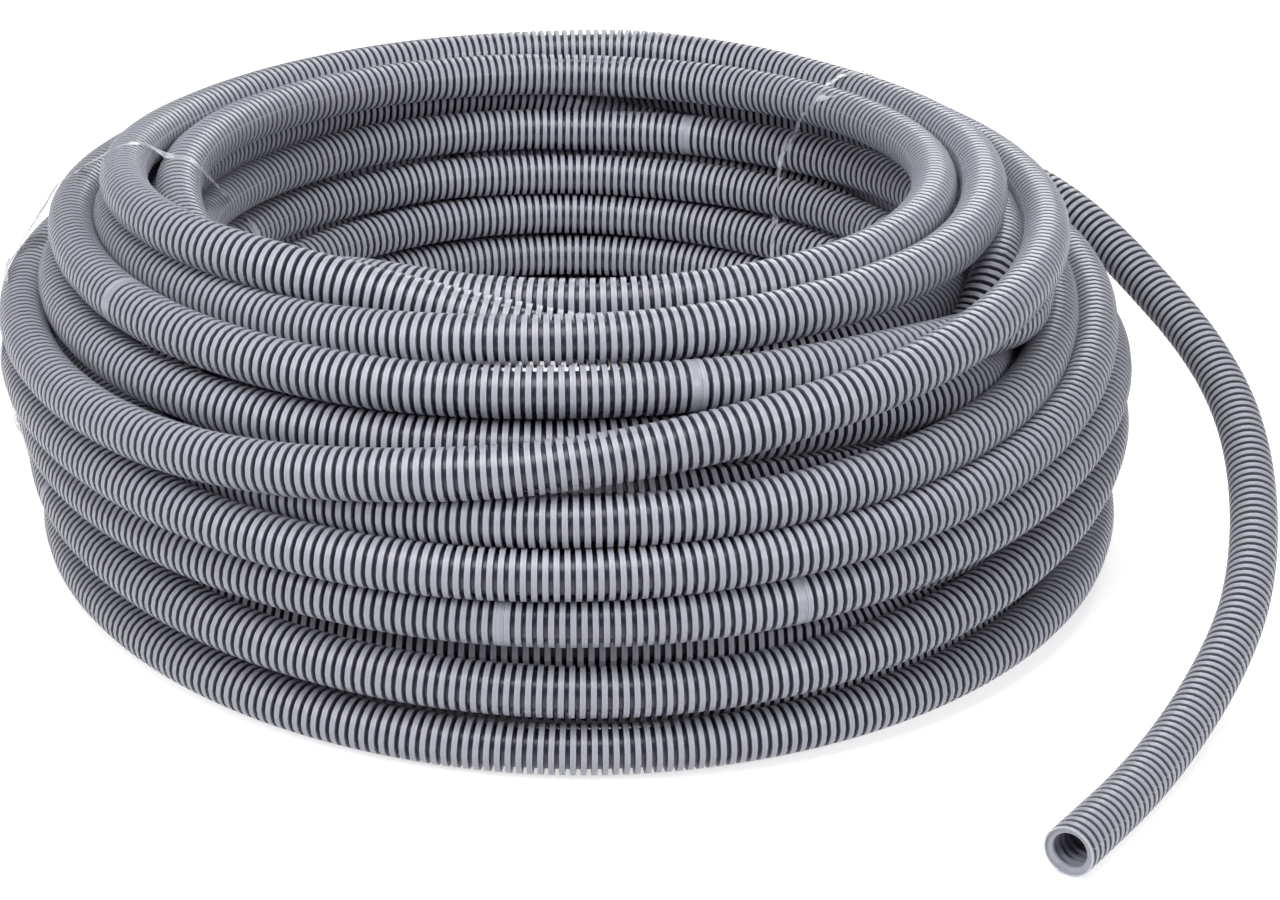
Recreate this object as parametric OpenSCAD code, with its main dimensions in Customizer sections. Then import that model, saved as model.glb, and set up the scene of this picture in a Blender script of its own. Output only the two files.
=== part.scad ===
// Coil of corrugated plastic conduit with a free tail, lying flat on Z = 0.
// Millimetres, +Z up.

/* [Tube] */
// Outside diameter over the ribs
tube_od = 20; // [18:0.5:22]
// Clear bore inside the tube
bore_d = 14.1; // [11:0.1:14.5]
// Thickness of the corrugated wall
wall = 0.6; // [0.5:0.05:0.7]
// Distance from one rib to the next
rib_pitch = 3.95; // [3.6:0.05:4.6]
// Width of the flat top of a rib
rib_w = 2.3; // [1.8:0.1:2.8]

/* [Coil] */
// Radius of the outermost turns, at the middle of the tube
coil_r = 229; // [200:1:260]
// Height from one turn to the next in the same column
row_pitch = 22.5; // [21:0.5:24]
// How far neighbouring turns press into each other
turn_press = 0.3; // [0.1:0.05:0.6]
// Turns in each column, from the outside in, below the crown
column_turns = [5, 6, 7, 6, 6];

/* [Crown] */
// How far the crown's inner turn lies outside the innermost turns of the coil
crown_out = 1.7; // [0:0.1:4]
// How far the crown's inner turn lies above the highest turns under it
crown_up = 18; // [16:0.5:20]
// How far the crown lies off the coil's middle to the left
crown_left = 13; // [10:0.5:15]
// How far the crown lies off the coil's middle to the back
crown_back = 11; // [8:0.5:13]
// How much the crown leans down to the back
lean_back = 2; // [1.5:0.1:2.5]
// How much the crown leans down to the left
lean_left = 1.2; // [0.8:0.1:1.6]

/* [Tail] */
// Direction in which the last turn leaves the coil
leave_angle = 50; // [42:1:51]
// Length of the last turn that lies on the coil, as an angle
seat_sweep = 50; // [20:1:80]
// Bend radius where the tail starts to fall and where it meets the floor
dip_r = 418; // [380:2:600]
// Sweep of each of those two bends
dip_sweep = 18; // [17:1:24]
// Bend radius of the long fall between them
fall_r = 241; // [230:1:300]
// Sweep of the long fall
fall_sweep = 64.5; // [60:0.5:80]
// Ribs on the straight end
end_ribs = 8; // [4:1:12]

/* [Film ties] */
// Directions of the two ties round the coil
tie_angles = [156, 52];
// Width of the gathered film
tie_w = 5; // [3:0.5:8]
// Thickness of the gathered film
tie_t = 0.5; // [0.3:0.1:0.8]
// Clearance between a tie and the tubes
tie_gap = 0.15; // [0.15:0.05:0.3]

/* [Hidden] */
$fn = 48;
tube_r = tube_od / 2;
bore_r = bore_d / 2;
groove_r = bore_r + wall;
// width of the room inside a rib
room_w = rib_w - 2 * wall;
// how far a smooth stretch reaches into the ribs at its ends, and how far it stays under their tops
bite = 0.3;
under = 0.1;
// how far a cut runs past what it cuts
over = 1;
// thickness of the plain start of the tail, as an angle
start_cap = 0.2;
// sides of one turn in the section of the turned coil
turn_sides = 12;
// how far the last turn stands off the coil, outwards and upwards
seat_out = 1.6;
seat_up = 1.1;
// room between the crown's two upper turns, and how much lower the outer one lies
crown_gap = 4;
crown_step = 2;
// the crown's third turn lies outside the inner one and below it
valley_out = 8;
valley_down = 21;
// the ties' height off the floor, and how far up a turn the room for them reaches
floor_gap = 0.05;
notch_h = 0.84 * tube_r;
// how much further the film stands off the leaning crown than off the other turns
crown_slack = 0.8;
// places of the turns in the section of the coil
column_step = sqrt(pow(tube_od - turn_press, 2) - pow(row_pitch / 2, 2));
inner = len(column_turns) - 1;
function turn_r(c) = coil_r - c * column_step;
function turn_z(c, i) = tube_r + (c % 2) * row_pitch / 2 + i * row_pitch;
function turn(c, i) = [turn_r(c), turn_z(c, i)];
function top_turn(c) = turn(c, column_turns[c] - 1);
// the crown is three turns: the inner one, its neighbour, and one in the valley below them
crown_r = turn_r(inner) + crown_out;
crown_z = max([for (c = [0 : inner]) top_turn(c)[1]]) + crown_up;
crown_turns = [
    [crown_r, crown_z],
    [crown_r + tube_od + crown_gap, crown_z - crown_step],
    [crown_r + valley_out, crown_z - valley_down]
];
// the tail starts on the free seat above the outermost column
seat_r = coil_r + seat_out;
seat_z = turn_z(0, column_turns[0]) + seat_up;
// slopes and rolls that bring the tail down to the floor, level at both ends
half_fall = fall_sweep / 2;
drop = seat_z - tube_r;
fall_slope = asin(drop / (2 * fall_r * sin(half_fall)
    + 2 * dip_r * cos(half_fall) * tan(dip_sweep / 2)));
join_slope = asin(sin(fall_slope) * cos(half_fall));
dip_roll = asin(sin(join_slope) / sin(dip_sweep));
join_roll = asin(tan(join_slope) / tan(dip_sweep))
    - asin(sin(fall_slope) * sin(half_fall) / cos(join_slope));

// 4 x 4 matrices that carry a frame along the tube: Y runs along it, -X points to the bend's centre
function move(v) = [[1, 0, 0, v[0]], [0, 1, 0, v[1]], [0, 0, 1, v[2]], [0, 0, 0, 1]];
function turn_x(a) = [[1, 0, 0, 0], [0, cos(a), -sin(a), 0], [0, sin(a), cos(a), 0], [0, 0, 0, 1]];
function turn_y(a) = [[cos(a), 0, sin(a), 0], [0, 1, 0, 0], [-sin(a), 0, cos(a), 0], [0, 0, 0, 1]];
function turn_about(a) = [[cos(a), -sin(a), 0, 0], [sin(a), cos(a), 0, 0], [0, 0, 1, 0], [0, 0, 0, 1]];
function along(r, sweep) = move([-r, 0, 0]) * turn_about(sweep) * move([r, 0, 0]);

start = turn_about(leave_angle) * move([seat_r, 0, seat_z]) * turn_x(180);
seat = start * along(seat_r, -seat_sweep);
dip = start * turn_y(dip_roll);
fall = dip * along(dip_r, dip_sweep) * turn_y(-join_roll);
land = fall * along(fall_r, fall_sweep) * turn_y(-join_roll);
finish = land * along(dip_r, dip_sweep);
// the straight end lies level on the floor, on its own heading
end_at = [finish[0][3], finish[1][3], tube_r];
end_heading = atan2(-finish[0][1], finish[1][1]);

// the whole part is moved so that the middle of its outline stands on the origin
fall_centre = fall * move([-fall_r, 0, 0]);
x_max = fall_centre[0][3] + fall_r * norm([fall[0][0], fall[0][1]]) + tube_r;
y_min = end_at[1] + end_ribs * rib_pitch * cos(end_heading) - tube_r * abs(sin(end_heading));
coil_at = [(coil_r + tube_r - x_max) / 2, -(seat_r + tube_r + y_min) / 2, 0];

// the coil: turned, and scalloped by its turns outside, inside and on both faces
module turn_section() {
    circle(tube_r, $fn = turn_sides);
}
module wound_body() {
    rotate_extrude($fn = 180) {
        for (c = [0 : inner])
            for (i = [0 : column_turns[c] - 1])
                translate(turn(c, i)) turn_section();
        // between the middles of the outer turns it is a plain core
        polygon(concat(
            [for (i = [0 : column_turns[0] - 1]) turn(0, i)],
            [for (c = [1 : inner - 1]) top_turn(c)],
            [for (i = [column_turns[inner] - 1 : -1 : 0]) turn(inner, i)],
            [for (c = [inner - 1 : -1 : 1]) turn(c, 0)]
        ));
    }
}
// the last turns on top, wound off the middle and leaning
module crown() {
    translate([-crown_left, crown_back, crown_z])
        rotate([-lean_back, -lean_left, 0]) translate([0, 0, -crown_z])
            rotate_extrude($fn = 180) {
                for (place = crown_turns)
                    translate(place) turn_section();
                polygon(crown_turns);
            }
}
module conduit_coil() {
    color([0.68, 0.69, 0.72]) translate(coil_at) difference() {
        union() {
            wound_body();
            crown();
        }
        for (angle = tie_angles)
            tie_notch(angle);
    }
}

// a stretch of round bar bent about -X, from one angle to another
module bar(r, from, to, radius) {
    translate([-r, 0, 0]) rotate([0, 0, from])
        rotate_extrude(angle = to - from) translate([r, 0]) circle(radius);
}
// a rib of that width round the bend, or the room inside one
module rib(r, angle, width, radius) {
    half = width / 2 / r * 180 / PI;
    bar(r, angle - half, angle + half, radius);
}
// a bend of the tube, about as thick as over its ribs, with a rib where it meets the next one
module bend_body(r, sweep) {
    short = (rib_w / 2 - bite) / r * 180 / PI;
    bar(r, short, sweep - short, tube_r - under);
    rib(r, sweep, rib_w, tube_r);
}
module bend_hollow(r, sweep, cap = 0) {
    short = (room_w / 2 - bite) / r * 180 / PI;
    bar(r, max(short, cap), sweep - short, bore_r);
    rib(r, sweep, room_w, tube_r - wall);
}
// the straight end: one turned piece cut off square through its last rib
module end_body() {
    rotate([-90, 0, 0]) rotate_extrude() union() {
        translate([0, rib_w / 2 - bite]) square([groove_r, end_ribs * rib_pitch - rib_w / 2]);
        for (k = [1 : end_ribs])
            translate([0, k * rib_pitch - rib_w / 2])
                square([tube_r, k == end_ribs ? rib_w / 2 : rib_w]);
    }
}
module end_hollow() {
    rotate([-90, 0, 0]) rotate_extrude() union() {
        translate([0, room_w / 2 - bite]) square([bore_r, end_ribs * rib_pitch]);
        for (k = [1 : end_ribs])
            translate([0, k * rib_pitch - room_w / 2])
                square([tube_r - wall, k == end_ribs ? room_w / 2 + over : room_w]);
    }
}
module conduit_tail() {
    color([0.66, 0.67, 0.70]) translate(coil_at) difference() {
        union() {
            multmatrix(seat) rib(seat_r, 0, rib_w, tube_r);
            multmatrix(seat) bend_body(seat_r, seat_sweep);
            multmatrix(dip) bend_body(dip_r, dip_sweep);
            multmatrix(fall) bend_body(fall_r, fall_sweep);
            multmatrix(land) bend_body(dip_r, dip_sweep);
            translate(end_at) rotate(end_heading) end_body();
        }
        multmatrix(seat) bend_hollow(seat_r, seat_sweep, start_cap);
        multmatrix(dip) bend_hollow(dip_r, dip_sweep);
        multmatrix(fall) bend_hollow(fall_r, fall_sweep);
        multmatrix(land) bend_hollow(dip_r, dip_sweep);
        translate(end_at) rotate(end_heading) end_hollow();
    }
}

// corners of the wound section that each tie is stretched over
tie_lift = [0, tie_gap + tie_t + floor_gap];
feet = [turn(inner, 0) + tie_lift, turn(0, 0) + tie_lift];
// where a turn of the crown passes in that direction, and the film over it
function crown_place(place, angle) = [
    crown_back * sin(angle) - crown_left * cos(angle)
        + sqrt(pow(place[0], 2) - pow(crown_left * sin(angle) + crown_back * cos(angle), 2)),
    place[1] + place[0] * (sin(lean_left) * cos(angle) - sin(lean_back) * sin(angle))
];
function crown_corners(angle) = [
    crown_place(crown_turns[0], angle) + [-crown_slack, crown_slack],
    crown_place(crown_turns[1], angle) + [crown_slack, crown_slack]
];
left_corners = concat(feet, [top_turn(0), top_turn(1), top_turn(inner)], crown_corners(tie_angles[0]));
back_corners = concat(feet, [[seat_r, seat_z], top_turn(inner)], crown_corners(tie_angles[1]));
// film pulled tight round those corners
module stretched(corners, radius) {
    hull()
        for (corner = corners)
            translate(corner) circle(radius);
}
module tie(angle, corners) {
    rotate([90, 0, angle]) linear_extrude(tie_w, center = true) difference() {
        stretched(corners, tube_r + tie_gap + tie_t);
        stretched(corners, tube_r + tie_gap);
    }
}
// room for a tie under the lowest turns, where the film lies in the grooves of the tube
module tie_notch(angle) {
    rotate([90, 0, angle]) linear_extrude(tie_w + 2 * tie_gap, center = true) difference() {
        translate([turn_r(inner) - tube_r, -over]) square([(inner + 2) * tube_od, over + notch_h]);
        for (c = [0 : 2 : inner])
            translate(turn(c, 0) + tie_lift) turn_section();
    }
}
module film_tie_left() {
    color([0.85, 0.88, 0.92, 0.5]) translate(coil_at) tie(tie_angles[0], left_corners);
}
module film_tie_back() {
    color([0.85, 0.88, 0.92, 0.5]) translate(coil_at) tie(tie_angles[1], back_corners);
}

conduit_coil();
conduit_tail();
film_tie_left();
film_tie_back();
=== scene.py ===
"""Coil of corrugated conduit with a free tail and two clear film ties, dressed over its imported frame."""

import math

import bpy
import numpy as np
from mathutils import Matrix, Vector


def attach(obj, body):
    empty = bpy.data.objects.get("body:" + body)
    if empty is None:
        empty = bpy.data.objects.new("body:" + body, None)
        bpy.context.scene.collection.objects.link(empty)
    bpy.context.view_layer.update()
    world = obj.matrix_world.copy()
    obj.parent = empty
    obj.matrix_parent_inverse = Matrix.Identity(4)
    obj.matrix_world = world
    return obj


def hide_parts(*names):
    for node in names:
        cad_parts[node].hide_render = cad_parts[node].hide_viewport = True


bl_info = {
    "name": "Corrugated Conduit Coil",
    "version": (1, 0, 0),
    "blender": (4, 5, 0),
    "location": "3D View > Sidebar > Conduit",
    "description": "Builds a wound coil of corrugated conduit with its free tail and film ties",
    "category": "Object",
}

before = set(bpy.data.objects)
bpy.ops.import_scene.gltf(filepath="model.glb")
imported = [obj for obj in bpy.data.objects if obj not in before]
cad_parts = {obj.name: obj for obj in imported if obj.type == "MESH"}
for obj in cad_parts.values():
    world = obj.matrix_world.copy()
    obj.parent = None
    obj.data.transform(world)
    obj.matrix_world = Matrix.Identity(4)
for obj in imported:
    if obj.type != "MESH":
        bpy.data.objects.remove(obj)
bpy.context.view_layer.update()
MM = 0.001

# ---------------------------------------------------------------- settings


class ConduitSizes(bpy.types.PropertyGroup):
    """Sizes of the corrugated tube, in metres"""

    tube_od: bpy.props.FloatProperty(
        name="Outside diameter", description="Over the ribs", default=0.020, unit="LENGTH")
    bore_d: bpy.props.FloatProperty(
        name="Bore", description="Clear bore inside the tube", default=0.0141, unit="LENGTH")
    wall: bpy.props.FloatProperty(
        name="Wall", description="Thickness of the corrugated wall", default=0.0006, unit="LENGTH")
    rib_pitch: bpy.props.FloatProperty(
        name="Rib pitch", description="Distance from one rib to the next", default=0.00395, unit="LENGTH")
    rib_w: bpy.props.FloatProperty(
        name="Rib width", description="Width of a rib half-way up its sides", default=0.0023, unit="LENGTH")


class ConduitColours(bpy.types.PropertyGroup):
    """Colours and finish of the tube and the film"""

    plastic: bpy.props.FloatVectorProperty(
        name="Plastic", description="Grey of the conduit", default=(0.39, 0.397, 0.455),
        subtype="COLOR", min=0, max=1)
    roughness: bpy.props.FloatProperty(
        name="Roughness", description="Satin finish of the plastic", default=0.33, subtype="FACTOR")
    film: bpy.props.FloatVectorProperty(
        name="Film", description="Tint of the clear film", default=(0.82, 0.83, 0.88),
        subtype="COLOR", min=0, max=1)


class StageSettings(bpy.types.PropertyGroup):
    """Floor, lights and camera"""

    key_power: bpy.props.FloatProperty(
        name="Key lamp", description="Power of the big soft lamp over the coil", default=21.0, unit="POWER")
    side_power: bpy.props.FloatProperty(
        name="Side lamps", description="Power of the soft lamp at the left; the right and back ones follow it",
        default=13.0, unit="POWER")
    sky: bpy.props.FloatProperty(
        name="Sky", description="Strength of the even light from all round", default=0.12)
    floor_lift: bpy.props.FloatProperty(
        name="Floor lift", description="Light that makes the floor white to the eye", default=0.65)
    floor_colour: bpy.props.FloatVectorProperty(
        name="Floor", description="Colour of the floor", default=(0.70, 0.70, 0.71),
        subtype="COLOR", min=0, max=1)


# ---------------------------------------------------------------- the winding

# the coil's sizes in millimetres, as the solid parts have them
COIL_R, ROW_PITCH, TUBE_R, RIB_PITCH = 229.0, 22.5, 10.0, 3.95
COLUMN_STEP = math.sqrt(19.7 ** 2 - (ROW_PITCH / 2) ** 2)
SEAT = (230.6, 123.6)
# the tail: where it leaves, its two dips, the long fall, its ribs on the straight end
LEAVE, DIP_R, DIP_SWEEP, FALL_R, FALL_SWEEP, END_RIBS = 50.0, 418.0, 18.0, 241.0, 64.5, 8
STATIONS = 96
# the farthest out that the middle of a turn may lie
OUTERMOST = 243
# sides of the tail's mesh, how far it is hollow from the cut, and the width of the pale edge of the cut
TAIL_SIDES, BORE_DEPTH, CUT_STEP = 24, 0.09, 0.0003
# how the free tail lies off those bends: stretches of its length, with a shift outwards and up
SWAYS = [(161, 350, 4.5, 3.5), (395, 590, -2.5, 0)]
# the blank bands where a groove is filled: turn and azimuth
BANDS = [(2, 432.5), (16, 213), (16, 281.5), (30, 263.5), (30, 290.5), (31, 201.5)]


def slot(column, row):
    """Radius and height of a place in the wound section: columns step inwards, and every other one stands
    half a row up."""
    return (COIL_R - column * COLUMN_STEP, TUBE_R + (column % 2) * ROW_PITCH / 2 + row * ROW_PITCH)


def lying(column, row):
    """A turn that simply lies in its slot, held loosely."""
    r, z = slot(column, row)
    return [(150, r, z, 0.05), (390, r, z, 0.05)]


def held(*waypoints):
    """A turn that is held where it crosses its neighbours: waypoints of azimuth, radius and height."""
    return [(a, r, z, 1.0) for a, r, z in waypoints]


def hidden(*waypoints):
    """A stretch on its way between places that show: waypoints that give way to their neighbours."""
    return [(a, r, z, 0.05) for a, r, z in waypoints]


# every turn of the tube in its order along the tube, from the tail inwards and back out; azimuth runs from
# the back (90) by the left (180), the front (270) and the right (360) to the back again (450)
TURNS = [
    held((90, 230.6, 123.6), (135, 233, 118), (180, 242, 108), (228, 237, 106), (252, 231, 116),
         (276, 216, 129), (294, 212, 139), (316, 211, 149), (334, 205, 155), (352, 196, 155),
         (372, 196, 151), (394, 203, 148), (420, 210, 145)),
    held((90, 219, 144), (112, 217, 142), (135, 206, 136), (160, 198, 138), (180, 199, 145), (200, 198, 148),
         (225, 190, 151), (240, 189, 154), (250, 190, 156), (262, 189, 159), (276, 185, 161), (300, 180, 164),
         (352, 172, 165), (403, 180, 157), (440, 206, 154)),
    held((90, 205, 154), (112, 196, 155), (137, 190, 155), (152, 191, 156), (172, 194, 160), (190, 196, 166),
         (204, 198, 170), (213, 197, 171), (222, 193, 171), (230, 186, 169), (238, 177, 165), (247, 171, 163),
         (254, 170, 160), (262, 168, 158), (270, 167, 156), (278, 167, 149), (290, 170, 141)),
    held((90, 178, 122), (162, 176, 124), (200, 166, 135), (232, 154, 149), (252, 149, 155), (262, 149, 157),
         (272, 147, 159), (285, 153, 163), (300, 158, 166), (350, 150, 166), (405, 158, 158), (441, 179, 149)),
    held((90, 180, 149), (137, 170, 154), (162, 172, 156), (186, 175, 158), (210, 170, 148), (228, 160, 142),
         (243, 148, 145), (258, 132, 151), (272, 129, 153), (286, 133, 151), (300, 143, 143), (320, 157, 125),
         (345, 168, 108), (380, 170, 103)),
    held((90, 173, 101), (150, 178, 101), (200, 172, 98), (270, 164, 92), (330, 166, 84)),
    held((90, 170, 80), (180, 168, 78), (270, 164, 68), (330, 164, 61)),
    held((90, 166, 60), (180, 165, 56), (270, 164, 47), (330, 164, 40)),
    held((90, 164, 38), (180, 164, 34), (270, 164, 24), (330, 164, 16)),
    held((90, 164, 13), (180, 164, 10), (270, 166, 10), (330, 176, 14)),
    *[lying(3, row) for row in range(6)],
    hidden((90, 200, 124), (112, 212, 122), (130, 221, 128))
    + held((152, 220, 138), (180, 219, 143), (225, 212, 142), (262, 198, 146), (300, 196, 146))
    + hidden((345, 190, 137), (394, 192, 131), (440, 204, 130)),
    hidden((90, 206, 118), (135, 214, 112)) + held((180, 227, 121), (225, 216, 119), (270, 198, 124))
    + hidden((320, 190, 119), (380, 190, 116), (440, 192, 112)),
    *[lying(2, row) for row in range(4, -1, -1)],
    *[lying(1, row) for row in range(5)],
    held((180, 219, 99), (228, 221, 96), (255, 226, 101), (276, 226, 103), (320, 220, 108),
         (350, 204, 122), (372, 206, 122)),
    held((180, 243, 88), (228, 237, 86), (270, 229, 86), (320, 226, 98), (352, 222, 116), (380, 222, 118)),
    held((180, 237, 63), (228, 231, 65), (270, 229, 66), (300, 229, 69), (345, 233, 92), (380, 233, 94)),
    held((180, 232, 45), (228, 229, 38), (276, 228, 35), (310, 230, 42), (348, 235, 70), (380, 232, 70)),
    held((150, 228, 12), (200, 226, 14), (270, 230, 10), (330, 231, 18), (360, 232, 24), (400, 230, 14)),
]


def smoothed(values, reach):
    """Weighted running mean: every value becomes the Hann-weighted mean of those within reach of it."""
    kernel = np.hanning(2 * reach + 3)[1:-1]
    return np.convolve(np.pad(values, reach, mode="edge"), kernel / kernel.sum(), "valid")


def wind(rounds=420, apart=19.8):
    """Radius and height of the tube's middle at every station of every turn.

    Starts from the straight lines between the waypoints, then repeats: turns of one station that lie nearer
    than a tube's width are pushed apart along the line between them, each is drawn back to its place by how
    firmly it is held, the floor lifts what lies too low, and each point moves towards the mean of its
    neighbours along the tube, which is how a stiff tube evens out its bends. Turns that are drawn to places
    too near each other stay too near and cut into each other there.
    """
    turns = len(TURNS)
    points = np.array([(360 * n + a, r, z, hold) for n, turn in enumerate(TURNS) for a, r, z, hold in turn])
    azimuth = 90 + np.arange(turns * STATIONS) * 360 / STATIONS
    target = np.stack([smoothed(np.interp(azimuth, points[:, 0], points[:, k]), 4) for k in (1, 2)], 1)
    hold = np.interp(azimuth, points[:, 0], points[:, 3])
    chance = np.random.default_rng(3)
    wander = np.stack([smoothed(np.interp(azimuth, azimuth[::16], chance.normal(0, 2, turns * STATIONS // 16)),
                                12) for _ in range(2)], 1)
    place = target + wander * (hold[:, None] < 0.5)
    firm = hold.reshape(turns, STATIONS)
    share = (firm[None] + 0.1) / (firm[:, None] + firm[None] + 0.2)
    by_seat = ((azimuth[:STATIONS] % 360 >= LEAVE) & (azimuth[:STATIONS] % 360 < 90))[None]
    same = np.arange(turns)
    for k in range(rounds):
        section = place.reshape(turns, STATIONS, 2)
        between = section[:, None] - section[None]
        gap = np.sqrt((between ** 2).sum(-1)) + 1e-6
        gap[same, same] = 1e3
        push = (between / gap[..., None] * (np.clip(apart - gap, 0, None) * share)[..., None]).sum(1)
        off = section - np.array(SEAT)
        far = np.sqrt((off ** 2).sum(-1)) + 1e-6
        push += off / far[..., None] * (np.clip(apart - far, 0, None) * by_seat)[..., None]
        place = place + 0.55 * push.reshape(-1, 2)
        place += (0.10 if k < 0.8 * rounds else 0.03) * np.clip(hold, 0.02, 1)[:, None] * (target - place)
        place[1:-1] += 0.2 * (place[:-2] - 2 * place[1:-1] + place[2:])
        place[:2] = SEAT
        place[:, 0] = np.minimum(place[:, 0], OUTERMOST)
        place[:, 1] = np.maximum(place[:, 1], TUBE_R)
    return azimuth, place


# ---------------------------------------------------------------- the tail's course


def move(v):
    """4 x 4 matrix of a shift."""
    m = np.eye(4)
    m[:3, 3] = v
    return m


def turn(axis, degrees):
    """4 x 4 matrix of a turn about the X, Y or Z axis."""
    return np.array(Matrix.Rotation(math.radians(degrees), 4, axis))


def along(r, sweep):
    """Carries a frame along a bend of radius r about its own -X side."""
    return move((-r, 0, 0)) @ turn("Z", sweep) @ move((r, 0, 0))


def tail_frames():
    """Frames at the start of the tail's bends, from the same sizes as the solid tail.

    The tail leaves its seat level, dips by a turned bend, falls on a tilted arc and flattens by the same bend
    mirrored. The tilt of the arc makes its height difference equal to the drop, and the rolls make the tube
    level at both ends.
    """
    sin, cos, tan = (lambda d, f=f: f(math.radians(d)) for f in (math.sin, math.cos, math.tan))
    arc = lambda x: math.degrees(math.asin(x))
    half, drop = FALL_SWEEP / 2, SEAT[1] - TUBE_R
    slope = arc(drop / (2 * FALL_R * sin(half) + 2 * DIP_R * cos(half) * tan(DIP_SWEEP / 2)))
    join = arc(sin(slope) * cos(half))
    dip_roll = arc(sin(join) / sin(DIP_SWEEP))
    join_roll = arc(tan(join) / tan(DIP_SWEEP)) - arc(sin(slope) * sin(half) / cos(join))
    start = turn("Z", LEAVE) @ move((SEAT[0], 0, SEAT[1])) @ turn("X", 180)
    dip = start @ turn("Y", dip_roll)
    fall = dip @ along(DIP_R, DIP_SWEEP) @ turn("Y", -join_roll)
    land = fall @ along(FALL_R, FALL_SWEEP) @ turn("Y", -join_roll)
    finish = land @ along(DIP_R, DIP_SWEEP)
    seat = start @ along(SEAT[0], -(90 - LEAVE))
    return [(seat, SEAT[0], 90 - LEAVE), (dip, DIP_R, DIP_SWEEP), (fall, FALL_R, FALL_SWEEP),
            (land, DIP_R, DIP_SWEEP)], finish


def tail_course(step=1.0):
    """Points along the tail's middle, every step millimetres: on each bend the start frame carries
    (r cos a - r, r sin a), and the last stretch is straight. Each sway adds a shift times a sine squared."""
    bends, finish = tail_frames()
    course = []
    for matrix, r, sweep in bends:
        a = np.linspace(0, math.radians(sweep), int(r * math.radians(sweep) / step), endpoint=False)
        flat = np.stack([r * np.cos(a) - r, r * np.sin(a), 0 * a, 1 + 0 * a], 1)
        course.append((flat @ matrix.T)[:, :3])
    y = np.linspace(0, END_RIBS * RIB_PITCH, 30)
    course.append((np.stack([0 * y, y, 0 * y, 1 + 0 * y], 1) @ finish.T)[:, :3])
    course = np.concatenate(course)
    length = np.concatenate([[0], np.cumsum(np.linalg.norm(np.diff(course, axis=0), axis=1))])
    outwards = np.cross((0, 0, 1), np.gradient(course, axis=0))
    outwards /= np.linalg.norm(outwards, axis=1)[:, None]
    for start, stop, out, up in SWAYS:
        rise = np.sin(np.pi * np.clip((length - start) / (stop - start), 0, 1))[:, None] ** 2
        course = course + rise * (out * outwards + (0, 0, up))
    return course


def coil_middle():
    """Where the coil's axis stands: the whole part is centred on its outline, as the solid parts are."""
    (fall, r, _), (_, finish) = tail_frames()[0][2], tail_frames()
    centre = fall @ move((-r, 0, 0))
    x_max = centre[0, 3] + r * math.hypot(fall[0, 0], fall[0, 1]) + TUBE_R
    end = finish @ move((0, END_RIBS * RIB_PITCH, 0))
    y_min = end[1, 3] - TUBE_R * math.hypot(end[0, 1], end[2, 1])
    return np.array([(COIL_R + TUBE_R - x_max) / 2, -(SEAT[0] + TUBE_R + y_min) / 2, 0])


COIL_AT = coil_middle()


class Course:
    """A smooth curve through points, looked up by length along it."""

    def __init__(self, points):
        """Keeps the points in metres with their running length: the sum of the steps between them."""
        self.points = points
        self.length = np.concatenate([[0], np.cumsum(np.linalg.norm(np.diff(points, axis=0), axis=1))])

    def at(self, s):
        """Points, directions and two crosswise directions at lengths s: linear between neighbours for the
        point, a centred difference for the direction, and the crosswise ones level and square to it."""
        look = lambda t: np.stack([np.interp(t, self.length, self.points[:, k]) for k in range(3)], 1)
        ahead = look(np.minimum(s + 0.002, self.length[-1])) - look(np.maximum(s - 0.002, 0))
        ahead /= np.linalg.norm(ahead, axis=1)[:, None]
        side = np.cross(ahead, (0, 0, 1))
        side /= np.linalg.norm(side, axis=1)[:, None]
        return look(s), ahead, side, np.cross(side, ahead)


def cubic(x, knots, values):
    """Smooth values between evenly spaced knots: the Catmull-Rom cubic of the four nearest."""
    step = knots[1] - knots[0]
    k = np.clip(((x - knots[0]) / step).astype(int), 0, len(knots) - 2)
    t = ((x - knots[0]) / step - k)[:, None]
    a, b, c, d = (values[np.clip(k + j, 0, len(knots) - 1)] for j in (-1, 0, 1, 2))
    return b + t * (c - a + t * (2 * a - 5 * b + 4 * c - d + t * (3 * (b - c) + d - a))) / 2


WOUND = []


def wound():
    """The winding, worked out once."""
    if not WOUND:
        WOUND.append(wind())
    return WOUND[0]


def coil_course():
    """The coil's middle line in metres: the wound radius and height turned round the coil's axis."""
    azimuth, place = wound()
    fine = np.arange(azimuth[0], azimuth[-1], 0.25)
    r, z = cubic(fine, azimuth, place).T
    a = np.radians(fine)
    points = np.stack([r * np.cos(a), r * np.sin(a), z], 1) + COIL_AT
    return Course(points * MM), fine


# ---------------------------------------------------------------- meshes


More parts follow.
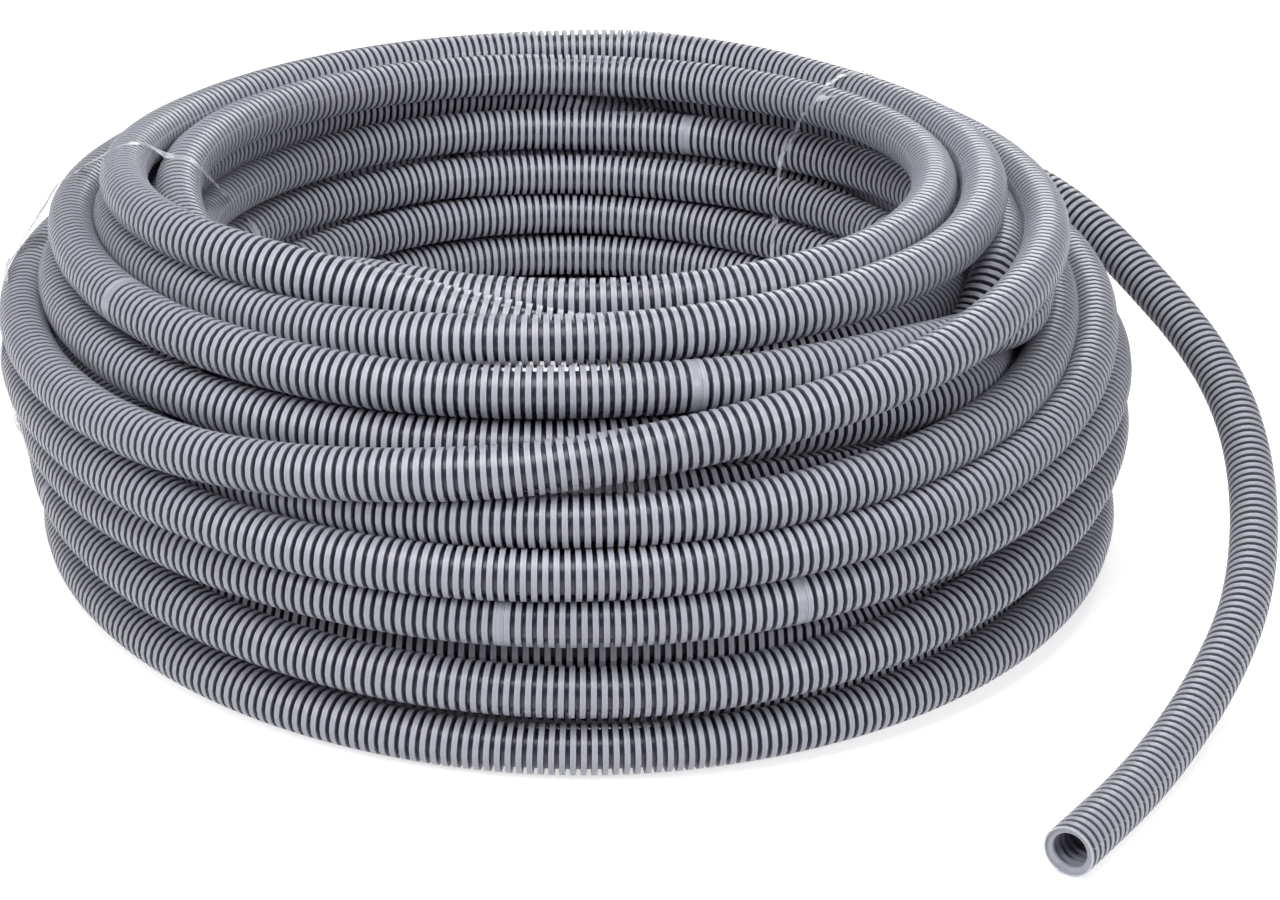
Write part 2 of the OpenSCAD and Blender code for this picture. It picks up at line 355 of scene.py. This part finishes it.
def tube_mesh(name, rings, closed=True, loop=False):
    """A mesh from rings of points (ring, side, xyz): quads between neighbouring rings and sides, with a cap
    across each end, or the last ring joined to the first. UV runs once round the tube in u, and v is given
    per ring by the caller."""
    points, v = rings
    if loop:
        points, v = points[:-1], v
    n, sides, _ = points.shape
    i, j = np.meshgrid(np.arange(n if loop else n - 1), np.arange(sides), indexing="ij")
    k, m = (j + 1) % sides, (i + 1) % n
    quads = np.stack([i * sides + j, i * sides + k, m * sides + k, m * sides + j], -1).reshape(-1, 4)
    caps = [np.arange(sides)[::-1], (n - 1) * sides + np.arange(sides)] if closed else []
    mesh = bpy.data.meshes.new(name)
    loops = np.concatenate([quads.ravel(), *caps])
    starts = np.concatenate([np.arange(len(quads)) * 4, len(quads) * 4 + np.arange(len(caps)) * sides])
    mesh.vertices.add(n * sides)
    mesh.vertices.foreach_set("co", points.reshape(-1).astype(np.float32))
    mesh.loops.add(len(loops))
    mesh.loops.foreach_set("vertex_index", loops.astype(np.int32))
    mesh.polygons.add(len(starts))
    mesh.polygons.foreach_set("loop_start", starts.astype(np.int32))
    mesh.update(calc_edges=True)
    u = np.stack([j, j + 1, j + 1, j], -1).reshape(-1) / sides
    w = np.stack([v[i], v[i], v[i + 1], v[i + 1]], -1).reshape(-1)
    uv = np.zeros((len(loops), 2), np.float32)
    uv[:len(u), 0], uv[:len(u), 1] = u, w
    mesh.uv_layers.new(name="UVMap").data.foreach_set("uv", uv.ravel())
    mesh.validate()
    return mesh


def swept(course, s, radius, sides):
    """Rings of a tube along a course: at each length s a circle of the given radius, crosswise to the course.
    Point j of a ring is middle + radius (cos(2 pi j / sides) side + sin(2 pi j / sides) up)."""
    middle, _, side, up = course.at(s)
    a = 2 * np.pi * np.arange(sides) / sides
    out = np.cos(a)[None, :, None] * side[:, None] + np.sin(a)[None, :, None] * up[:, None]
    return middle[:, None] + radius[:, None, None] * out


def rib_rings(sizes, pitch, first, last, bands=()):
    """Lengths, radii and v of the rings of a corrugated stretch from rib first up to, but not with, rib last.

    Rib k stands at (k + 1/2) pitch. It gives four rings: up its first side, along its top and down its second
    side; its sides lean a little. The stretch ends at the foot of the next rib. A band is a groove filled
    almost to the height of the ribs beside it. v counts ribs: it is a whole number on the middle of each."""
    k = np.arange(first, last)
    lean, sunk = 0.00012, 0.0001
    top, groove, half = sizes.tube_od / 2, sizes.bore_d / 2 + sizes.wall, sizes.rib_w / 2
    offsets = np.array([-half - lean, -half + lean, half - lean, half + lean])
    s = (k[:, None] + 0.5) * pitch + offsets
    r = np.tile([groove, top, top, groove], (len(k), 1))
    for band in bands:
        if first <= band < last - 1:
            r[band - first, 3] = r[band - first + 1, 0] = top - sunk
    s = np.append(s, (last + 0.5) * pitch + offsets[0])
    r, v = np.append(r, groove), s / pitch - 0.5 - first
    for band in bands:
        if first <= band < last - 1:
            v[4 * (band - first) + 3:4 * (band - first) + 5] = band - first
    return s, r, v


def wave_rings(sizes, pitch, first, last):
    """Lengths, radii and v of a stretch that only shows in gaps: one ring on each rib, one in each groove."""
    k = np.arange(2 * first, 2 * last + 1)
    r = np.where(k % 2, sizes.tube_od / 2, sizes.bore_d / 2 + sizes.wall)
    return k * pitch / 2, r, (k - 1) / 2 - first


def finish_piece(name, mesh, material, sharp=True):
    """Puts a mesh into the scene as a piece that rides on the part."""
    mesh.materials.append(material)
    mesh.shade_smooth()
    if sharp:
        mesh.set_sharp_from_angle(angle=math.radians(38))
    piece = bpy.data.objects.new(name, mesh)
    bpy.context.collection.objects.link(piece)
    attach(piece, "root")
    return piece


# ---------------------------------------------------------------- film

# the ties: name, CAD node, stops of turn, azimuth, angle about the tube (0 outwards, 90 up, 180 inwards) and
# the film's width in millimetres, and whether it closes into a loop
FILM_TIES = [
    ("film_left", "film_tie_left", [
        (9, 157, -90, 5), (9, 157, 180, 5), (8, 157, 180, 5), (7, 156, 180, 5), (6, 156, 165, 5),
        (5, 155.5, 145, 5), (5, 155, 104, 5), (4, 183, 150, 3), (4, 182.6, 110, 5), (4, 182, 62, 4),
        (2, 181, 150, 2.5), (2, 184, 115, 3), (2, 186.5, 80, 2), (2, 187, 42, 2), (16, 176, 88, 3),
        (16, 178.5, 36, 6), (0, 178, 48, 14), (0, 182, 15, 24), (29, 190, 15, 30), (30, 190, 0, 24),
        (31, 188, -10, 16), (32, 188, -35, 10), (32, 187, -90, 6)], True),
    ("film_back", "film_tie_back", [
        (9, 413, -90, 4), (9, 413, 180, 4), (8, 413, 180, 4), (7, 413, 180, 4), (6, 413, 170, 3),
        (5, 413, 175, 3), (5, 415, 92, 2), (4, 414.5, 125, 2), (2, 414, 180, 2), (2, 412.8, 131, 2),
        (3, 407, 200, 2), (3, 403.5, 143, 3), (3, 404.8, 88, 2), (1, 406.5, 125, 2), (1, 405, 70, 4),
        (0, 406, 75, 6), (0, 408, 10, 6), (29, 409, 5, 6), (30, 410, 0, 5), (31, 410, 0, 5),
        (32, 410, -30, 4), (32, 410, -90, 4)], True),
    ("film_back_fork", "film_tie_back", [
        (3, 403.5, 143, 2.5), (3, 401, 130, 2.5), (3, 399.5, 112, 2)], False),
]
FILM_SIDES, FILM_STEP, FILM_THICK, FILM_LIFT = 18, 1.6, 0.22, 0.45


def film_mesh(name, stops, closed):
    """A band of gathered film through its stops on the tubes.

    The band's middle runs straight between its stops and is then evened out. Its section is a flat closed
    ring: x = w/2 cos t across the band and y = thickness/2 sin t off the tubes, and its pleats lift it by
    (1 + sin(k x + drift)) / 2 of a height, with a second finer set. Pinches narrow the band here and there."""
    turns, azimuths, angles, widths = (np.array(c, float) for c in zip(*stops))
    if closed:
        turns, azimuths, angles, widths = (np.append(c, c[0]) for c in (turns, azimuths, angles, widths))
    grid, place = wound()
    r, z = (np.interp(360 * turns + azimuths, grid, place[:, k]) for k in (0, 1))
    a, t = np.radians(azimuths), np.radians(angles)
    radial = np.stack([np.cos(a), np.sin(a), 0 * a], 1)
    off = np.cos(t)[:, None] * radial + np.sin(t)[:, None] * np.array([0, 0, 1])
    knots = r[:, None] * radial + np.stack([0 * z, 0 * z, z], 1) + (TUBE_R + FILM_LIFT) * off
    knots[:, 2] = np.maximum(knots[:, 2], FILM_THICK)
    run = np.concatenate([[0], np.cumsum(np.linalg.norm(np.diff(knots, axis=0), axis=1))])
    s = np.linspace(0, run[-1], int(run[-1] / FILM_STEP))
    table = np.column_stack([knots, off, widths])
    even = np.stack([np.interp(s, run, table[:, k]) for k in range(7)], 1)
    kernel = np.hanning(9)[1:-1] / np.hanning(9)[1:-1].sum()
    if closed:
        padded = np.concatenate([even[-4:-1], even, even[1:4]])
    else:
        padded = np.pad(even, ((3, 3), (0, 0)), mode="edge")
    even = np.stack([np.convolve(padded[:, k], kernel, "valid") for k in range(7)], 1)
    middle, off, width = even[:, :3], even[:, 3:6], even[:, 6]
    ahead = np.gradient(middle, axis=0)
    ahead /= np.linalg.norm(ahead, axis=1)[:, None] + 1e-9
    off -= (off * ahead).sum(1)[:, None] * ahead
    off /= np.linalg.norm(off, axis=1)[:, None] + 1e-9
    across = np.cross(ahead, off)
    around = 2 * np.pi * np.arange(FILM_SIDES) / FILM_SIDES
    chance = np.random.default_rng(len(stops))
    wander = lambda scale, reach: scale * smoothed(chance.normal(0, 1, len(s)), reach) * math.sqrt(reach)
    w = width * (1 + np.clip(wander(0.35, 6), -0.45, 0.5))
    x = np.cos(around)[None] * w[:, None] / 2
    high = np.clip(0.16 * w, 0, 1.1)[:, None]
    coarse = (1 + np.sin(2.2 * x + wander(2.2, 8)[:, None] + 0.15 * s[:, None])) / 2
    finer = (1 + np.sin(5.1 * x + wander(2.5, 4)[:, None])) / 2
    edge = 0.35 + 0.65 * np.sin(around)[None] ** 2
    y = high * (0.7 * coarse + 0.3 * finer) * edge + np.sin(around)[None] * FILM_THICK / 2
    points = middle[:, None] + x[..., None] * across[:, None] + y[..., None] * off[:, None]
    points[..., 2] = np.maximum(points[..., 2], 0.02 + 0.1 * (1 + np.sin(around)))
    return tube_mesh(name, ((points + COIL_AT) * MM, s / FILM_STEP), closed=not closed, loop=closed)


# ---------------------------------------------------------------- materials


def new_material(name):
    """An empty node material and its shader."""
    material = bpy.data.materials.new(name)
    material.use_nodes = True
    return material, material.node_tree, material.node_tree.nodes["Principled BSDF"]


def worked_out(tree, operation, value, source, margin=None):
    """A math node of the given operation on a socket and a value."""
    step = tree.nodes.new("ShaderNodeMath")
    step.operation = operation
    step.inputs[1].default_value = value
    if margin is not None:
        step.inputs[2].default_value = margin
    tree.links.new(source, step.inputs[0])
    return step


def blended(tree, factor, first, second=None):
    """A colour mix of two sockets by a third; without a second socket its colour is left to be set."""
    step = tree.nodes.new("ShaderNodeMix")
    step.data_type = "RGBA"
    if factor is not None:
        tree.links.new(factor, step.inputs["Factor"])
    if first is not None:
        tree.links.new(first, step.inputs["A"])
    if second is not None:
        tree.links.new(second, step.inputs["B"])
    return step


def conduit_plastic(colours):
    """Satin grey plastic: slow changes of tone, a fine grain, a painted highlight on the edges of each rib top
    and painted shade in a faint line along its middle, down the rib's sides and in the grooves, and a paler
    tone where the attribute cut says that it was cut."""
    material, tree, shader = new_material("conduit_plastic")
    link = tree.links.new
    node = tree.nodes.new
    place = node("ShaderNodeTexCoord")
    slow = node("ShaderNodeTexNoise")
    slow.inputs["Scale"].default_value = 14
    slow.inputs["Detail"].default_value = 3
    link(place.outputs["Object"], slow.inputs["Vector"])
    tone = blended(tree, slow.outputs["Fac"], None)
    r, g, b = colours.plastic
    tone.inputs["A"].default_value = (r * 0.93, g * 0.93, b * 0.93, 1)
    tone.inputs["B"].default_value = (min(1, r * 1.07), min(1, g * 1.07), min(1, b * 1.07), 1)
    shader.inputs["Roughness"].default_value = colours.roughness
    fine = node("ShaderNodeTexNoise")
    fine.inputs["Scale"].default_value = 900
    link(place.outputs["Object"], fine.inputs["Vector"])
    split = node("ShaderNodeSeparateXYZ")
    link(place.outputs["UV"], split.inputs[0])
    saw = worked_out(tree, "PINGPONG", 0.5, split.outputs["Y"])
    # tone across a rib, from its middle to the middle of the groove: painted shade in a faint line along the
    # rib's middle, a painted highlight on its edges, and painted shade down its sides and in the groove
    across = node("ShaderNodeValToRGB")
    stops = across.color_ramp.elements
    stops[0].position, stops[0].color = 0.0, (0.84, 0.84, 0.84, 1)
    stops[1].position, stops[1].color = 0.66, (0.12, 0.12, 0.15, 1)
    for where, grey in ((0.05, 0.84), (0.09, 0.94), (0.38, 0.94), (0.45, 1.0), (0.52, 1.0), (0.55, 0.4)):
        stops.new(where).color = (grey, grey, grey, 1)
    double = worked_out(tree, "MULTIPLY", 2, saw.outputs[0])
    link(double.outputs[0], across.inputs["Fac"])
    # the plastic's tone is multiplied by this painted shade and painted highlight
    shade = blended(tree, None, tone.outputs["Result"], across.outputs["Color"])
    shade.blend_type = "MULTIPLY"
    shade.inputs["Factor"].default_value = 1
    # the mould seam: a small pale nick on each rib's edge, along a line on each side of the tube
    shifted = worked_out(tree, "ADD", 0.06, split.outputs["X"])
    lines = worked_out(tree, "PINGPONG", 0.25, shifted.outputs[0])
    near = node("ShaderNodeMapRange")
    near.inputs["From Min"].default_value = 0.002
    near.inputs["From Max"].default_value = 0.006
    near.inputs["To Min"].default_value = 1
    near.inputs["To Max"].default_value = 0
    link(lines.outputs[0], near.inputs["Value"])
    edge = worked_out(tree, "COMPARE", 0.255, saw.outputs[0], margin=0.035)
    nick = node("ShaderNodeMath")
    nick.operation = "MULTIPLY"
    link(near.outputs["Result"], nick.inputs[0])
    link(edge.outputs[0], nick.inputs[1])
    nicked = blended(tree, nick.outputs[0], shade.outputs["Result"])
    nicked.inputs["B"].default_value = (0.52, 0.53, 0.59, 1)
    # the fresh cut is paler
    cut = node("ShaderNodeAttribute")
    cut.attribute_name = "cut"
    pale = blended(tree, cut.outputs["Fac"], nicked.outputs["Result"])
    pale.inputs["B"].default_value = (0.60, 0.61, 0.66, 1)
    link(pale.outputs["Result"], shader.inputs["Base Color"])
    dip = node("ShaderNodeMapRange")
    dip.interpolation_type = "SMOOTHSTEP"
    dip.inputs["From Min"].default_value = 0.03
    dip.inputs["From Max"].default_value = 0.11
    link(saw.outputs[0], dip.inputs["Value"])
    height = node("ShaderNodeMath")
    height.operation = "MULTIPLY_ADD"
    height.inputs[1].default_value = 0.12
    link(fine.outputs["Fac"], height.inputs[0])
    link(dip.outputs["Result"], height.inputs[2])
    bump = node("ShaderNodeBump")
    bump.inputs["Strength"].default_value = 0.5
    bump.inputs["Distance"].default_value = 0.00012
    link(height.outputs[0], bump.inputs["Height"])
    link(bump.outputs["Normal"], shader.inputs["Normal"])
    return material


def clear_film(colours):
    """Clear crinkled film: glossy, and denser along its creases."""
    material, tree, shader = new_material("clear_film")
    link = tree.links.new
    node = tree.nodes.new
    place = node("ShaderNodeTexCoord")
    crease = node("ShaderNodeTexNoise")
    crease.inputs["Scale"].default_value = 160
    crease.inputs["Detail"].default_value = 4
    link(place.outputs["Object"], crease.inputs["Vector"])
    veil = node("ShaderNodeMapRange")
    veil.inputs["From Min"].default_value = 0.46
    veil.inputs["From Max"].default_value = 0.68
    veil.inputs["To Min"].default_value = 0.2
    veil.inputs["To Max"].default_value = 0.6
    link(crease.outputs["Fac"], veil.inputs["Value"])
    link(veil.outputs["Result"], shader.inputs["Alpha"])
    shader.inputs["Base Color"].default_value = (*colours.film, 1)
    shader.inputs["Roughness"].default_value = 0.2
    bump = node("ShaderNodeBump")
    bump.inputs["Strength"].default_value = 0.6
    bump.inputs["Distance"].default_value = 0.0006
    link(crease.outputs["Fac"], bump.inputs["Height"])
    link(bump.outputs["Normal"], shader.inputs["Normal"])
    return material


def shared(name, make, settings):
    """The material of that name, made once."""
    return bpy.data.materials.get(name) or make(settings)


# ---------------------------------------------------------------- operators


class OBJECT_OT_conduit_camera(bpy.types.Operator):
    """Sets the camera"""

    bl_idname = "object.conduit_camera"
    bl_label = "Camera"

    def execute(self, context):
        """The camera stands in front of the coil, looks down on it and is rolled a little."""
        yaw, down, roll = 0.02639, 0.43751, 0.03326
        ahead = np.array([math.sin(yaw) * math.cos(down), math.cos(yaw) * math.cos(down), -math.sin(down)])
        right = np.array([math.cos(yaw), -math.sin(yaw), 0])
        up = np.cross(right, ahead)
        across = math.cos(roll) * right + math.sin(roll) * up
        upward = math.cos(roll) * up - math.sin(roll) * right
        camera = bpy.data.cameras.new("camera")
        camera.lens, camera.sensor_width = 74.83, 36
        holder = bpy.data.objects.new("camera", camera)
        spot = (np.array([0, -1096.1, 541.6]) + COIL_AT) * MM
        rows = [[across[k], upward[k], -ahead[k], spot[k]] for k in range(3)]
        holder.matrix_world = Matrix(rows + [[0, 0, 0, 1]])
        context.collection.objects.link(holder)
        context.scene.camera = holder
        return {"FINISHED"}


class OBJECT_OT_conduit_tail(bpy.types.Operator):
    """Builds the free tail of the conduit, from its seat on the coil to the cut end"""

    bl_idname = "object.conduit_tail"
    bl_label = "Conduit Tail"

    def ragged(self, course, sizes):
        """How the cut rim stands off a square cut: the product of two waves, back along the tube's axis, and
        a burr at the bottom that stands out along the axis and bends into the opening."""
        _, ahead, side, up = (v[0] for v in course.at(np.array([course.length[-1]])))
        a = 2 * np.pi * np.arange(TAIL_SIDES) / TAIL_SIDES
        wave = -0.00022 * (0.6 + 0.4 * np.sin(5 * a + 1)) * (0.6 + 0.4 * np.sin(11 * a))
        burr = np.exp(-((a - 1.58 * np.pi) / 0.22) ** 2)
        out = np.cos(a)[:, None] * side + np.sin(a)[:, None] * up
        return (wave + 0.0013 * burr)[:, None] * ahead - (0.0010 * burr)[:, None] * out

    def execute(self, context):
        """Sweeps the corrugation along the tail, turns it inwards at the cut and runs it back up the bore."""
        sizes, colours = context.scene.conduit_sizes, context.scene.conduit_colours
        path = (tail_course() + COIL_AT) * MM
        course = Course(path)
        length = course.length[-1]
        ribs = round(length / sizes.rib_pitch - 0.5)
        pitch = length / (ribs + 0.5)
        # the last rib is cut through its middle
        s, r, v = rib_rings(sizes, pitch, 0, ribs + 1)
        s, r, v = s[:-3], r[:-3], v[:-3]
        inside = s > length - BORE_DEPTH
        top = sizes.tube_od / 2
        brink = length - CUT_STEP
        s = np.concatenate([[0], s, [brink, length, length, brink], s[inside][::-1]])
        rim = len(r) + 2
        shell = [top, top, top - sizes.wall, top - sizes.wall]
        r = np.concatenate([[r[0]], r, shell, r[inside][::-1] - sizes.wall])
        v = np.concatenate([[-0.5], v, [ribs] * 4, np.full(inside.sum(), ribs + 0.15)])
        rings = swept(course, s, r, TAIL_SIDES)
        rings[rim:rim + 2] += self.ragged(course, sizes)
        mesh = tube_mesh("conduit_tail", (rings, v))
        cut = np.zeros(rings.shape[:2])
        cut[rim:rim + 2] = 1
        mesh.attributes.new("cut", "FLOAT", "POINT").data.foreach_set("value", cut.ravel())
        piece = finish_piece("conduit_free_tail", mesh, shared("conduit_plastic", conduit_plastic, colours))
        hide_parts("conduit_tail")
        return {"FINISHED"}


class OBJECT_OT_conduit_coil(bpy.types.Operator):
    """Builds the wound turns of the conduit"""

    bl_idname = "object.conduit_coil"
    bl_label = "Conduit Coil"

    def execute(self, context):
        """Winds the course once and sweeps it in stretches, with plainer ones where it only shows in gaps."""
        sizes, colours = context.scene.conduit_sizes, context.scene.conduit_colours
        plastic = shared("conduit_plastic", conduit_plastic, colours)
        course, azimuth = coil_course()
        rib_at = lambda a: int(np.interp(a, azimuth, course.length) / sizes.rib_pitch)
        bands = [rib_at(360 * n + a) for n, a in BANDS]
        # stretches of turns: first turn, the turn after the last, sides, and whether they have full ribs
        stretches = [
            ("conduit_upper_turns", 0, 2, 18, True), ("conduit_crossing_turns", 2, 5, 18, True),
            ("conduit_eye_turns", 5, 10, 14, True), ("conduit_core_turns", 10, 15, 8, False),
            ("conduit_shoulder_turns", 15, 18, 16, True), ("conduit_middle_turns", 18, 23, 6, False),
            ("conduit_under_turns", 23, 28, 9, True), ("conduit_wall_turns", 28, 30, 16, True),
            ("conduit_foot_turns", 30, 33, 16, True),
        ]
        for name, start, stop, sides, ribbed in stretches:
            first, last = rib_at(90 + 360 * start), rib_at(90 + 360 * stop)
            if ribbed:
                s, r, v = rib_rings(sizes, sizes.rib_pitch, first, last, bands)
            else:
                s, r, v = wave_rings(sizes, sizes.rib_pitch, first, last)
            s = np.clip(s, 0, course.length[-1])
            mesh = tube_mesh(name, (swept(course, s, r, sides), v))
            piece = finish_piece(name, mesh, plastic)
            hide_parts("conduit_coil")
        return {"FINISHED"}


class OBJECT_OT_conduit_film(bpy.types.Operator):
    """Builds the two ties of clear film"""

    bl_idname = "object.conduit_film"
    bl_label = "Film Ties"

    def execute(self, context):
        """Lays each tie on the turns that it holds, all the way round the wound section."""
        film = shared("clear_film", clear_film, context.scene.conduit_colours)
        for name, node, stops, closed in FILM_TIES:
            mesh = film_mesh(name, stops, closed)
            piece = finish_piece(name, mesh, film, sharp=False)
            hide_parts(node)
        return {"FINISHED"}


class OBJECT_OT_conduit_stage(bpy.types.Operator):
    """Builds the floor and the lights"""

    bl_idname = "object.conduit_stage"
    bl_label = "Stage"

    def execute(self, context):
        """A pale floor, white to the eye, under soft light from above, from both sides and from behind."""
        stage = context.scene.conduit_stage
        scene = context.scene
        scene.view_settings.view_transform = "Standard"
        material, tree, shader = new_material("white_floor")
        shader.inputs["Base Color"].default_value = (*stage.floor_colour, 1)
        shader.inputs["Roughness"].default_value = 0.9
        # what the camera and reflections see is lifted to white, and the shadow stays
        path = tree.nodes.new("ShaderNodeLightPath")
        seen = [path.outputs[name] for name in ("Is Camera Ray", "Is Glossy Ray", "Is Transmission Ray")]
        for ray in seen[1:]:
            either = tree.nodes.new("ShaderNodeMath")
            either.operation = "MAXIMUM"
            tree.links.new(seen[0], either.inputs[0])
            tree.links.new(ray, either.inputs[1])
            seen[0] = either.outputs[0]
        lift = tree.nodes.new("ShaderNodeMath")
        lift.operation = "MULTIPLY"
        lift.inputs[1].default_value = stage.floor_lift
        tree.links.new(seen[0], lift.inputs[0])
        shader.inputs["Emission Color"].default_value = (1, 1, 1, 1)
        tree.links.new(lift.outputs[0], shader.inputs["Emission Strength"])
        mesh = bpy.data.meshes.new("floor")
        reach = 6.0
        corners = [(-reach, -reach, 0), (reach, -reach, 0), (reach, reach, 0), (-reach, reach, 0)]
        mesh.from_pydata(corners, [], [(0, 1, 2, 3)])
        mesh.materials.append(material)
        floor = bpy.data.objects.new("floor", mesh)
        scene.collection.objects.link(floor)
        world = bpy.data.worlds.new("studio")
        world.use_nodes = True
        scene.world = world
        background = world.node_tree.nodes["Background"]
        background.inputs["Color"].default_value = (1, 1, 1, 1)
        background.inputs["Strength"].default_value = stage.sky
        lamps = [
            ("over", (-0.2, -0.45, 1.5), 1.1, stage.key_power),
            ("left", (-1.3, -1.0, 1.1), 0.7, stage.side_power),
            ("right", (1.2, -1.3, 1.0), 0.7, stage.side_power * 1.1),
            ("behind", (0.4, 1.6, 1.0), 0.9, stage.side_power * 0.9),
        ]
        for name, spot, size, power in lamps:
            light = bpy.data.lights.new(name, "AREA")
            light.shape, light.size, light.energy = "SQUARE", size, power
            lamp = bpy.data.objects.new(name, light)
            aim = Vector((0, 0, 0.08)) - Vector(spot)
            lamp.matrix_world = Matrix.Translation(spot) @ aim.to_track_quat("-Z", "Y").to_matrix().to_4x4()
            scene.collection.objects.link(lamp)
        return {"FINISHED"}


class VIEW3D_PT_conduit(bpy.types.Panel):
    """Sizes and builders of the conduit coil"""

    bl_label = "Conduit Coil"
    bl_idname = "VIEW3D_PT_conduit"
    bl_space_type = "VIEW_3D"
    bl_region_type = "UI"
    bl_category = "Conduit"

    def draw(self, context):
        """Lists the settings and one button for each operator."""
        scene = context.scene
        for group in (scene.conduit_sizes, scene.conduit_colours, scene.conduit_stage):
            for key in group.__annotations__:
                self.layout.prop(group, key)
        for operator in OPERATORS:
            self.layout.operator(operator.bl_idname)


OPERATORS = (OBJECT_OT_conduit_camera, OBJECT_OT_conduit_tail, OBJECT_OT_conduit_coil,
             OBJECT_OT_conduit_film, OBJECT_OT_conduit_stage)
GROUPS = {"conduit_sizes": ConduitSizes, "conduit_colours": ConduitColours, "conduit_stage": StageSettings}


def register():
    """Registers the classes and hangs the settings on the scene."""
    for cls in (*GROUPS.values(), *OPERATORS, VIEW3D_PT_conduit):
        bpy.utils.register_class(cls)
    for key, cls in GROUPS.items():
        setattr(bpy.types.Scene, key, bpy.props.PointerProperty(type=cls))


def unregister():
    """Takes the settings and classes away again."""
    for key in GROUPS:
        delattr(bpy.types.Scene, key)
    for cls in reversed((*GROUPS.values(), *OPERATORS, VIEW3D_PT_conduit)):
        bpy.utils.unregister_class(cls)


def main():
    """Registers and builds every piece."""
    register()
    bpy.ops.object.conduit_camera()
    bpy.ops.object.conduit_tail()
    bpy.ops.object.conduit_coil()
    bpy.ops.object.conduit_film()
    bpy.ops.object.conduit_stage()


if __name__ == "__main__":
    main()
